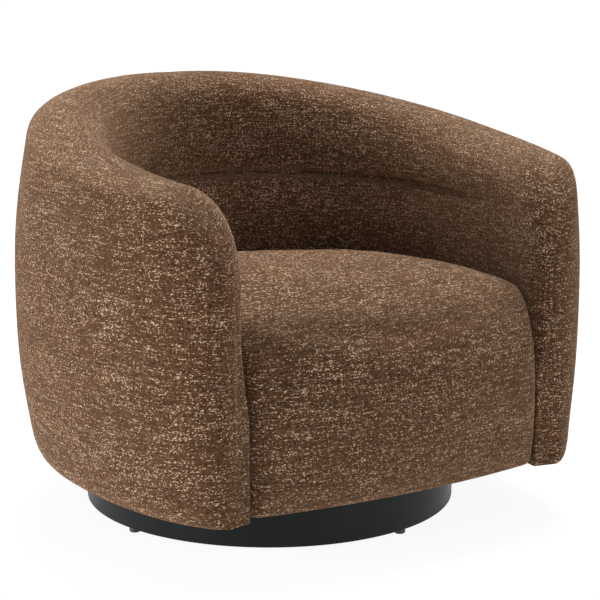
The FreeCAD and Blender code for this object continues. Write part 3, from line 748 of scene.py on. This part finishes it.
def rounded(radius, corner_r, corner_z, first, runs=6):
    """Points of a quarter round about a middle, starting at a number of quarter turns."""
    turns = [math.pi / 2 * (first + run / runs) for run in range(runs + 1)]
    return [(corner_r + radius * math.cos(turn), corner_z + radius * math.sin(turn)) for turn in turns]


def plinth_section():
    """The ring's section: a rounder top edge outside, small edges elsewhere."""
    inner = PLINTH_RADIUS - PLINTH_WALL + PLINTH_INNER_EDGE
    foot = GLIDE_HEIGHT + PLINTH_FOOT_EDGE
    wall = PLINTH_TOP - PLINTH_EDGE - foot
    return (rounded(PLINTH_EDGE, PLINTH_RADIUS - PLINTH_EDGE, PLINTH_TOP - PLINTH_EDGE, 0)
            + rounded(PLINTH_INNER_EDGE, inner, PLINTH_TOP - PLINTH_INNER_EDGE, 1, 3)
            + rounded(PLINTH_INNER_EDGE, inner, GLIDE_HEIGHT + PLINTH_INNER_EDGE, 2, 3)
            + rounded(PLINTH_FOOT_EDGE, PLINTH_RADIUS - PLINTH_FOOT_EDGE, foot, 3, 3)
            + [(PLINTH_RADIUS, foot + run * wall / PLINTH_WALL_RUNS) for run in range(1, PLINTH_WALL_RUNS)])


painted_ring = turned_ring("plinth_shell", plinth_section())
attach(painted_ring, "base")
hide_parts("plinth_ring")


def glides():
    """Four domed nylon pads under the plinth's wall."""
    levels = [(GLIDE_FLAT, 0)]
    levels += [(GLIDE_RADIUS - GLIDE_EDGE + GLIDE_EDGE * math.sin(turn), GLIDE_EDGE * (1 - math.cos(turn)))
               for turn in (math.pi / 10 * step for step in range(6))]
    levels += [(GLIDE_RADIUS, GLIDE_HEIGHT - GLIDE_RIM_DROP), (GLIDE_RADIUS - GLIDE_RIM, GLIDE_HEIGHT)]
    points, faces = [], []
    for quarter_turn in range(4):
        turn = math.radians(GLIDE_TURN + 90 * quarter_turn)
        middle = Vector((math.cos(turn), math.sin(turn), 0)) * (PLINTH_RADIUS - PLINTH_WALL / 2)
        rings = [[middle + Vector((radius * math.cos(a), radius * math.sin(a), z))
                  for a in (2 * math.pi * step / GLIDE_SIDES for step in range(GLIDE_SIDES))]
                 for radius, z in levels]
        add_rings(points, faces, rings)
    return mesh_object("nylon_glides", points, faces, plain_weave(points))


nylon_glides = glides()
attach(nylon_glides, "base")
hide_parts("floor_glides")


def bottom_cloth():
    """The black cloth stapled under the frame, with a window for the swivel, sagging a little between."""
    start = NOSE_LENGTH + SOFT_GAP + FRAME_GAP
    seat_inner = DEPTH + FRAME_GAP
    front = APRON_THICKNESS - SEAT_FRONT + SOFT_GAP
    front_half = abs(spot(length_where(seat_inner, front), seat_inner).x)
    edge = BOTTOM_TUCK + CORNER_WIDTH + FRAME_GAP + CLOTH_LAP
    corners = [Vector((0, front + CLOTH_LAP, 0)), Vector((front_half, front + CLOTH_LAP, 0)),
               spot(start, seat_inner, 0, 1), spot(start, edge + outer_inset(start), 0, 1)]
    half = []
    for here, there in zip(corners, corners[1:]):
        runs = max(1, round((there - here).length / CLOTH_STEP))
        half += [here.lerp(there, run / runs) for run in range(runs)]
    half += [spot(length, edge + outer_inset(length), 0, 1)
             for length in (start + (HALF_LENGTH - start) * run / SIDE_RUNS for run in range(SIDE_RUNS + 1))]
    outline = half + [Vector((-point.x, point.y, 0)) for point in reversed(half[1:-1])]
    rings = []
    for step in range(CLOTH_RINGS + 1):
        share = step / CLOTH_RINGS
        ring = []
        for point in outline:
            window = point * (CLOTH_WINDOW / max(abs(point.x), abs(point.y)))
            place = point.lerp(window, share)
            place.z = BOTTOM - CLOTH_DROP - CLOTH_SAG * math.sin(math.pi * share) ** 2
            ring.append(place)
        rings.append(ring)
    around = len(outline)
    points = [point for ring in rings for point in ring]
    faces = [(level * around + place, level * around + (place + 1) % around,
              (level + 1) * around + (place + 1) % around, (level + 1) * around + place)
             for level in range(CLOTH_RINGS) for place in range(around)]
    made = mesh_object("bottom_cloth", points, faces, plain_weave(points))
    thick = made.modifiers.new("thick", "SOLIDIFY")
    thick.thickness = CLOTH_THICKNESS * MM
    thick.offset = 0
    apply_modifiers(made)
    made.data.shade_smooth()
    xs, ys = [point.x for point in outline], [point.y for point in outline]
    loop = zip(outline, outline[1:] + outline[:1])
    area = abs(sum(a.x * b.y - b.x * a.y for a, b in loop)) / 2 - (2 * CLOTH_WINDOW) ** 2
    return made, (max(xs) - min(xs), max(ys) - min(ys)), area


dust_cloth, cloth_size, cloth_area = bottom_cloth()
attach(dust_cloth, "seat")
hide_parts("dust_cover")


# A strap's section: its place across, 1 at the edge, and its height as a share of the thickness
WEB_SECTION = ((-1, 0.2), (-0.97, 0), (0.97, 0), (1, 0.2), (1, 0.8), (0.97, 1), (-0.97, 1), (-1, 0.8))


def straps(name, node_name, along, places, ends, level):
    """Elastic straps that pass over and under the ones that cross them."""
    points, faces = [], []
    for number, place in enumerate(places):
        low, high = ends(place)
        runs = round((high - low) / WEB_STEP)
        rings = []
        for run in range(runs + 1):
            reach = low + (high - low) * run / runs
            wave = WEB_WAVE * math.cos(math.pi * reach / WEB_WAVE_LENGTH + math.pi * number)
            section = []
            for across, up in WEB_SECTION:
                side = place + across * WEB_WIDTH / 2
                z = level + wave + up * WEB_THICKNESS
                section.append(Vector((reach, side, z)) if along == "x" else Vector((side, reach, z)))
            rings.append(section if along == "x" else list(reversed(section)))
        add_rings(points, faces, rings)
    made = mesh_object(name, points, faces, plain_weave(points))
    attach(made, "seat")
    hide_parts(node_name)
    return made


def strap_room(axis):
    """Where a strap at a place across the seat starts and ends."""
    reach = DEPTH + WEB_END_GAP
    front = APRON_THICKNESS - SEAT_FRONT + WEB_END_GAP

    def across(y):
        half = abs(spot(length_where(reach, y), reach).x)
        return -half, half

    def back(x):
        low, high = HALF_LENGTH / 2, HALF_LENGTH
        for _ in range(40):
            middle = (low + high) / 2
            if abs(spot(middle, reach).x) > abs(x) + WEB_WIDTH / 2:
                low = middle
            else:
                high = middle
        return front, spot(low, reach).y

    return across if axis == "x" else back


web_long = straps("straps_lengthwise", "webbing_lengthwise", "y", LENGTHWISE_PLACES, strap_room("y"),
                  DECK_TOP)
web_cross = straps("straps_crosswise", "webbing_crosswise", "x", CROSSWISE_PLACES, strap_room("x"),
                   DECK_TOP + WEB_THICKNESS)


# Finishes


def material(name):
    """A fresh node material and its Principled shader."""
    made = bpy.data.materials.new(name)
    made.use_nodes = True
    return made, made.node_tree.nodes["Principled BSDF"]


def node(tree, kind, values=(), **settings):
    """A node with its settings, and its inputs' plain values or links by name or place."""
    made = tree.nodes.new(f"ShaderNode{kind}")
    for name, value in settings.items():
        setattr(made, name, value)
    for name, value in dict(values).items():
        socket = made.inputs[name]
        if isinstance(value, bpy.types.NodeSocket):
            tree.links.new(value, socket)
        else:
            socket.default_value = value
    return made


def stretched(tree, place, scale):
    """The place in the cloth with each direction scaled by its own number."""
    return node(tree, "Mapping", {"Vector": place, "Scale": scale}).outputs["Vector"]


def grain(tree, place, scale, detail=2.0, roughness=0.6):
    """Noise at a place, from 0 to 1."""
    return node(tree, "TexNoise", {"Vector": place, "Scale": scale, "Detail": detail, "Roughness": roughness},
                noise_dimensions="3D").outputs["Fac"]


def spread(tree, value, low, high, to_low=0.0, to_high=1.0):
    """Maps a range of values onto another, held at its ends."""
    return node(tree, "MapRange", {"Value": value, "From Min": low, "From Max": high,
                                   "To Min": to_low, "To Max": to_high}, clamp=True).outputs["Result"]


def opaque(colour):
    """A colour for a socket, with its fourth value added to three plain ones."""
    return (*colour, 1.0) if isinstance(colour, tuple) else colour


def blend(tree, share, first, second):
    """A mix of two colours. A Mix node takes colours in its inputs 6 and 7 and gives one in its output 2."""
    sockets = {0: share, 6: opaque(first), 7: opaque(second)}
    return node(tree, "Mix", sockets, data_type="RGBA").outputs[2]


def maths(tree, first, second, operation="MULTIPLY"):
    """Two values worked into one, as their product where nothing else is said."""
    return node(tree, "Math", {0: first, 1: second}, operation=operation).outputs[0]


DARK_YARN = (0.010, 0.0042, 0.0020)
MID_YARN = (0.235, 0.102, 0.046)
WARP_SHADE = (0.030, 0.0135, 0.0070)
WEFT_BROWN = (0.200, 0.100, 0.052)
OLIVE_TINT = (0.075, 0.054, 0.024)
CREAM_FLECK = (0.820, 0.610, 0.420)


def tweed():
    """A chenille tweed: dark and mid brown yarns, cream flecks gathered in weft rows, and a fuzzy sheen."""
    made, shader = material("brown_tweed")
    tree = made.node_tree
    place = node(tree, "Attribute", attribute_name="weave").outputs["Vector"]
    tufts = node(tree, "TexVoronoi", {"Vector": stretched(tree, place, (0.6, 0.6, 1)), "Scale": 800.0})
    dye = node(tree, "SeparateXYZ", {0: tufts.outputs["Color"]}).outputs
    rows = grain(tree, stretched(tree, place, (0.065, 0.065, 1)), 480, 1.0, 0.5)
    columns = grain(tree, stretched(tree, place, (1, 1, 0.05)), 480, 1.0, 0.5)
    cloud = grain(tree, stretched(tree, place, (0.6, 0.6, 1)), 14, 3.0, 0.55)
    tint = grain(tree, place, 5, 2.0, 0.5)
    ground = blend(tree, spread(tree, dye["X"], 0.15, 0.95), DARK_YARN, MID_YARN)
    ground = blend(tree, spread(tree, columns, 0.44, 0.62, 0.0, 0.58), ground, WARP_SHADE)
    ground = blend(tree, spread(tree, rows, 0.50, 0.64, 0.0, 0.5), ground, WEFT_BROWN)
    ground = blend(tree, spread(tree, tint, 0.42, 0.62, 0.0, 0.15), ground, OLIVE_TINT)
    gathered = maths(tree, spread(tree, rows, 0.38, 0.64, -0.08, 0.09),
                     spread(tree, cloud, 0.35, 0.65, -0.03, 0.03), "ADD")
    lit = spread(tree, maths(tree, dye["Y"], gathered, "ADD"), 0.87, 0.94)
    colour = blend(tree, lit, ground, CREAM_FLECK)
    tree.links.new(colour, shader.inputs["Base Color"])
    round_tuft = spread(tree, tufts.outputs["Distance"], 0.0, 0.8, 1.0, 0.0)
    height = maths(tree, maths(tree, round_tuft, 0.8), maths(tree, lit, 0.4), "ADD")
    bump = node(tree, "Bump", {"Strength": 0.9, "Distance": 0.0022, "Height": height})
    tree.links.new(bump.outputs["Normal"], shader.inputs["Normal"])
    shader.inputs["Roughness"].default_value = 0.92
    shader.inputs["Specular IOR Level"].default_value = 0.12
    shader.inputs["Sheen Weight"].default_value = 0.6
    shader.inputs["Sheen Roughness"].default_value = 0.4
    shader.inputs["Sheen Tint"].default_value = (0.9, 0.56, 0.34, 1.0)
    return made


def own_place(tree):
    """The place on the piece itself, which turns with it."""
    return node(tree, "TexCoord").outputs["Object"]


def surface(shader, tree, colour, roughness, height=None, distance=0.0004, strength=0.6, **plain):
    """Links a colour, a roughness and a bump, and sets the other sockets to plain values."""
    tree.links.new(colour, shader.inputs["Base Color"])
    tree.links.new(roughness, shader.inputs["Roughness"])
    if height is not None:
        bump = node(tree, "Bump", {"Strength": strength, "Distance": distance, "Height": height})
        tree.links.new(bump.outputs["Normal"], shader.inputs["Normal"])
    for name, value in plain.items():
        shader.inputs[name.replace("_", " ")].default_value = value


def lacquer():
    """Satin black over wood: a faint brushed unevenness and a slightly duller foot."""
    made, shader = material("satin_black_lacquer")
    tree = made.node_tree
    place = own_place(tree)
    cloud = grain(tree, place, 9, 3.0, 0.55)
    fine = grain(tree, stretched(tree, place, (1, 1, 2.5)), 260, 2.0, 0.5)
    colour = blend(tree, spread(tree, cloud, 0.35, 0.65), (0.0040, 0.0050, 0.0055), (0.0070, 0.0085, 0.0092))
    height = node(tree, "SeparateXYZ", {0: place}).outputs["Z"]
    worn = spread(tree, height, 0.008, 0.022, 0.10, 0.0)
    roughness = maths(tree, spread(tree, maths(tree, cloud, fine), 0.1, 0.4, 0.34, 0.48), worn, "ADD")
    surface(shader, tree, colour, roughness, fine, distance=0.00012, strength=0.35)
    shader.inputs["Specular IOR Level"].default_value = 0.18
    return made


def bare_ply():
    """Birch ply: pale veneer on its faces and glued layers on its cut edges."""
    made, shader = material("birch_ply")
    tree = made.node_tree
    place = own_place(tree)
    streaks = grain(tree, stretched(tree, place, (0.05, 1, 1)), 170, 3.0, 0.6)
    cloud = grain(tree, place, 7, 2.0, 0.5)
    face = blend(tree, spread(tree, streaks, 0.35, 0.65), (0.360, 0.235, 0.125), (0.560, 0.410, 0.240))
    face = blend(tree, spread(tree, cloud, 0.4, 0.65, 0.0, 0.4), face, (0.430, 0.290, 0.155))
    layers = node(tree, "TexWave", {"Vector": place, "Scale": 118.0, "Distortion": 0.6, "Detail": 2.0},
                  wave_type="BANDS", bands_direction="Z").outputs["Fac"]
    edge = blend(tree, spread(tree, layers, 0.3, 0.7), (0.190, 0.105, 0.050), (0.470, 0.320, 0.180))
    facing = node(tree, "SeparateXYZ", {0: node(tree, "NewGeometry").outputs["Normal"]}).outputs["Z"]
    level = maths(tree, facing, 0.0, "ABSOLUTE")
    colour = blend(tree, spread(tree, level, 0.55, 0.75), edge, face)
    surface(shader, tree, colour, spread(tree, streaks, 0.3, 0.7, 0.55, 0.75), streaks, distance=0.0002)
    return made


def bare_hardwood(name, along):
    """Planed hardwood with its grain along one axis, darker pores and the odd broad streak."""
    made, shader = material(name)
    tree = made.node_tree
    place = own_place(tree)
    lengthened = tuple(0.06 if axis == along else 1 for axis in "xyz")
    fibres = grain(tree, stretched(tree, place, lengthened), 210, 3.0, 0.6)
    drawn_out = tuple(0.1 * share if share < 1 else 1 for share in lengthened)
    bands = grain(tree, stretched(tree, place, drawn_out), 34)
    colour = blend(tree, spread(tree, bands, 0.35, 0.65), (0.240, 0.130, 0.062), (0.440, 0.275, 0.145))
    colour = blend(tree, spread(tree, fibres, 0.52, 0.72, 0.0, 0.6), colour, (0.150, 0.078, 0.036))
    surface(shader, tree, colour, spread(tree, fibres, 0.3, 0.7, 0.5, 0.72), fibres, distance=0.0003)
    return made


def zinc():
    """Zinc plate over pressed steel: a soft spangle and fine rolling lines."""
    made, shader = material("zinc_plated_steel")
    tree = made.node_tree
    place = own_place(tree)
    spangle = node(tree, "TexVoronoi", {"Vector": place, "Scale": 190.0}).outputs["Distance"]
    lines = grain(tree, stretched(tree, place, (0.04, 1, 1)), 900, 2.0, 0.5)
    colour = blend(tree, spread(tree, spangle, 0.1, 0.7), (0.420, 0.430, 0.450), (0.620, 0.625, 0.630))
    surface(shader, tree, colour, spread(tree, maths(tree, spangle, lines), 0.05, 0.4, 0.26, 0.46), lines,
            distance=0.0001, strength=0.3, Metallic=1.0)
    return made


def moulded_nylon():
    """Black nylon with a fine pitted skin and a few pale scuffs."""
    made, shader = material("black_nylon")
    tree = made.node_tree
    place = own_place(tree)
    pits = grain(tree, place, 700, 2.0, 0.6)
    scuffs = grain(tree, stretched(tree, place, (1, 0.1, 1)), 240, 2.0, 0.5)
    colour = blend(tree, spread(tree, scuffs, 0.5, 0.7), (0.016, 0.016, 0.017), (0.046, 0.045, 0.044))
    surface(shader, tree, colour, spread(tree, pits, 0.3, 0.7, 0.38, 0.6), pits, distance=0.0001)
    return made


def bonded_cloth():
    """Thin black bonded cloth with tangled fibres and a grid of pressed dots."""
    made, shader = material("black_bonded_cloth")
    tree = made.node_tree
    place = own_place(tree)
    fibres = grain(tree, place, 900, 3.0, 0.7)
    dots = node(tree, "TexVoronoi", {"Vector": place, "Scale": 420.0, "Randomness": 0.15}).outputs["Distance"]
    colour = blend(tree, spread(tree, fibres, 0.35, 0.65), (0.006, 0.006, 0.0065), (0.024, 0.024, 0.025))
    height = maths(tree, maths(tree, fibres, 0.5), spread(tree, dots, 0.1, 0.35), "ADD")
    surface(shader, tree, colour, spread(tree, fibres, 0.3, 0.7, 0.82, 0.95), height, distance=0.0003)
    return made


def elastic_web(name, along):
    """Jute-coloured elastic webbing: ribs across it, with dark stripes across it that follow the ribs."""
    made, shader = material(name)
    tree = made.node_tree
    place = own_place(tree)
    cross = "X" if along == "x" else "Y"
    ribs = node(tree, "TexWave", {"Vector": place, "Scale": 150.0, "Distortion": 0.4},
                wave_type="BANDS", bands_direction=cross).outputs["Fac"]
    threads = grain(tree, stretched(tree, place, (1, 0.1, 1) if along == "y" else (0.1, 1, 1)), 700, 2.0, 0.6)
    colour = blend(tree, spread(tree, threads, 0.35, 0.65), (0.200, 0.150, 0.095), (0.420, 0.345, 0.240))
    colour = blend(tree, spread(tree, ribs, 0.0, 0.35, 0.7, 0.0), colour, (0.090, 0.062, 0.038))
    surface(shader, tree, colour, spread(tree, threads, 0.3, 0.7, 0.8, 0.95), ribs, distance=0.0004)
    return made


def finish(things, chosen):
    """Gives pieces, or the frame's own nodes by name, a finish in every slot."""
    for thing in things:
        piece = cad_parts[thing] if isinstance(thing, str) else thing
        if not piece.material_slots:
            piece.data.materials.append(chosen)
        for slot in piece.material_slots:
            slot.link = "OBJECT"
            slot.material = chosen


finish((fabric_shell, fabric_seat), tweed())
finish((painted_ring,), lacquer())
finish((nylon_glides, "roller_cage"), moulded_nylon())
finish((dust_cloth,), bonded_cloth())
finish((web_long,), elastic_web("elastic_webbing_lengthwise", "y"))
finish((web_cross,), elastic_web("elastic_webbing_crosswise", "x"))
finish(("plinth_top_panel", "swivel_board", "bottom_frame", "seat_deck", "shell_ribs", "front_posts",
        "top_rail", "seat_front_rail"), bare_ply())
finish(("plinth_brace_long",), bare_hardwood("hardwood_across", "x"))
finish(("plinth_brace_cross", "swivel_rails"), bare_hardwood("hardwood_lengthwise", "y"))
finish(("deck_cleats", "corner_blocks"), bare_hardwood("hardwood_upright", "z"))
finish(("swivel_lower_plate", "swivel_upper_plate", "lower_plate_screws", "upper_plate_screws", "pivot_bolt",
        "bearing_rollers"), zinc())


# The camera, the lights and the floor

CAMERA_PLACE = (-1.5359, -2.4659, 0.9279)
CAMERA_TARGET = (0, -0.0164, 0.33576)
CAMERA_SENSOR = 36
CAMERA_LENS = 106.8
CAMERA_SHIFT = 0.04205
LAMP_TARGET = (0, 0, 0.35)
WORLD_LIGHT = 0.26
FLOOR_HALF = 30


def aimed(thing, place, target):
    """Puts a camera or lamp in its place and turns it to its target."""
    thing.location = place
    thing.rotation_euler = (Vector(target) - Vector(place)).to_track_quat("-Z", "Y").to_euler()
    bpy.context.scene.collection.objects.link(thing)


camera = bpy.data.objects.new("camera", bpy.data.cameras.new("camera"))
camera.data.sensor_width = CAMERA_SENSOR
camera.data.lens = CAMERA_LENS
camera.data.shift_x = CAMERA_SHIFT
aimed(camera, CAMERA_PLACE, CAMERA_TARGET)
bpy.context.scene.camera = camera


def softbox(name, place, size, power):
    """A round soft lamp that faces the chair."""
    lamp = bpy.data.lights.new(name, "AREA")
    lamp.shape = "DISK"
    lamp.size = size
    lamp.energy = power
    aimed(bpy.data.objects.new(name, lamp), place, LAMP_TARGET)


softbox("key", (-3.2, 0.0, 0.7), 1.3, 70)
softbox("top", (0.6, 0.6, 2.8), 2.0, 98)
softbox("fill", (0.7, -3.3, 0.9), 1.6, 24)


def seen_by_eye(tree):
    """1 for the rays that show a surface, straight, mirrored or through glass, and 0 for those that light."""
    rays = node(tree, "LightPath").outputs
    share = maths(tree, rays["Is Camera Ray"], rays["Is Glossy Ray"], "MAXIMUM")
    return maths(tree, share, rays["Is Transmission Ray"], "MAXIMUM")


world = bpy.data.worlds.new("studio")
bpy.context.scene.world = world
world.use_nodes = True
sky = world.node_tree
strength = spread(sky, seen_by_eye(sky), 0, 1, WORLD_LIGHT, 1.0)
background = sky.nodes["Background"]
background.inputs["Color"].default_value = (1, 1, 1, 1)
sky.links.new(strength, background.inputs["Strength"])

floor_mesh = bpy.data.meshes.new("floor")
floor_corners = [(FLOOR_HALF * x, FLOOR_HALF * y, 0) for x, y in ((-1, -1), (1, -1), (1, 1), (-1, 1))]
floor_mesh.from_pydata(floor_corners, [], [(0, 1, 2, 3)])
floor = bpy.data.objects.new("floor", floor_mesh)
bpy.context.scene.collection.objects.link(floor)
floor_finish, floor_shader = material("pale_floor")
ground = floor_finish.node_tree
matte = node(ground, "BsdfDiffuse", {"Color": (0.8, 0.8, 0.8, 1)})
veil = node(ground, "BsdfDiffuse", {"Color": (0.16, 0.16, 0.16, 1)})
floor_place = node(ground, "TexCoord").outputs["Object"]
away = node(ground, "VectorMath", {0: floor_place}, operation="LENGTH").outputs["Value"]
# Seen by eye, the floor glows 0.92 near the chair and 1 beyond 2.2 m: painted shade round the chair.
glow_with_painted_shade = spread(ground, away, 0.7, 2.2, 0.92, 1.0)
glow = node(ground, "Emission", {"Color": (1, 1, 1, 1), "Strength": glow_with_painted_shade})
pale = node(ground, "AddShader", {0: veil.outputs[0], 1: glow.outputs[0]})
floor_mix = node(ground, "MixShader", {0: seen_by_eye(ground), 1: matte.outputs[0], 2: pale.outputs[0]})
ground.links.new(floor_mix.outputs[0], ground.nodes["Material Output"].inputs["Surface"])
floor_mesh.materials.append(floor_finish)

bpy.context.scene.view_settings.view_transform = "Standard"
